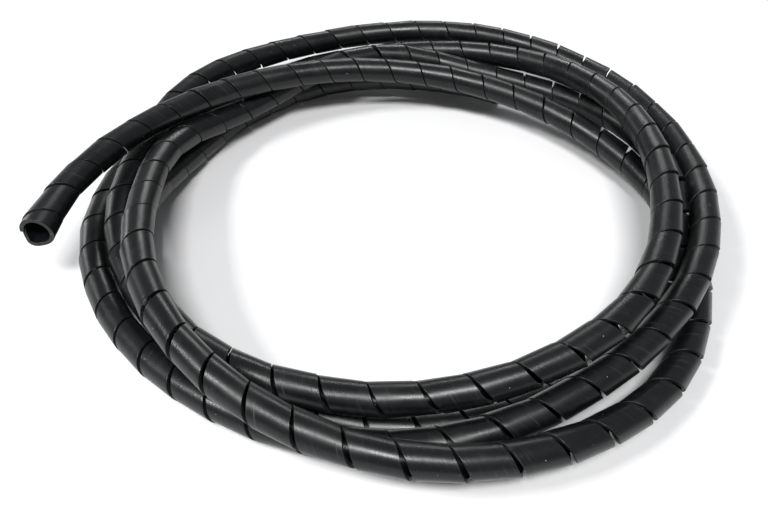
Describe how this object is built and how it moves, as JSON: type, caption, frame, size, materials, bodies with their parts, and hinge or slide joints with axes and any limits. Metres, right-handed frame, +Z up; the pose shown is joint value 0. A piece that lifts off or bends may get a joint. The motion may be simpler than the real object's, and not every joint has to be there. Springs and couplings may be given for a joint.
{
  "type": "spiral cable wrap",
  "caption": "Black plastic strip formed into a spiral tube that wraps round cables, lying in a loose coil with one end lifted free.",
  "frame": {"origin": "middle of the coil's outline, on the ground plane it lies on", "axes": "+Z up, square to the ground; +Y from the viewer's side to the far side, along the coil's longest extent; +X to the right, with the lifted end on the left"},
  "size_m": [0.19, 0.1924, 0.0275],
  "materials": {
    "black_polyethylene": "satin black polyethylene, fine draw lines round the tube"
  },
  "bodies": {
    "root": {"spiral_strip": "black_polyethylene"}
  },
  "joints": []
}
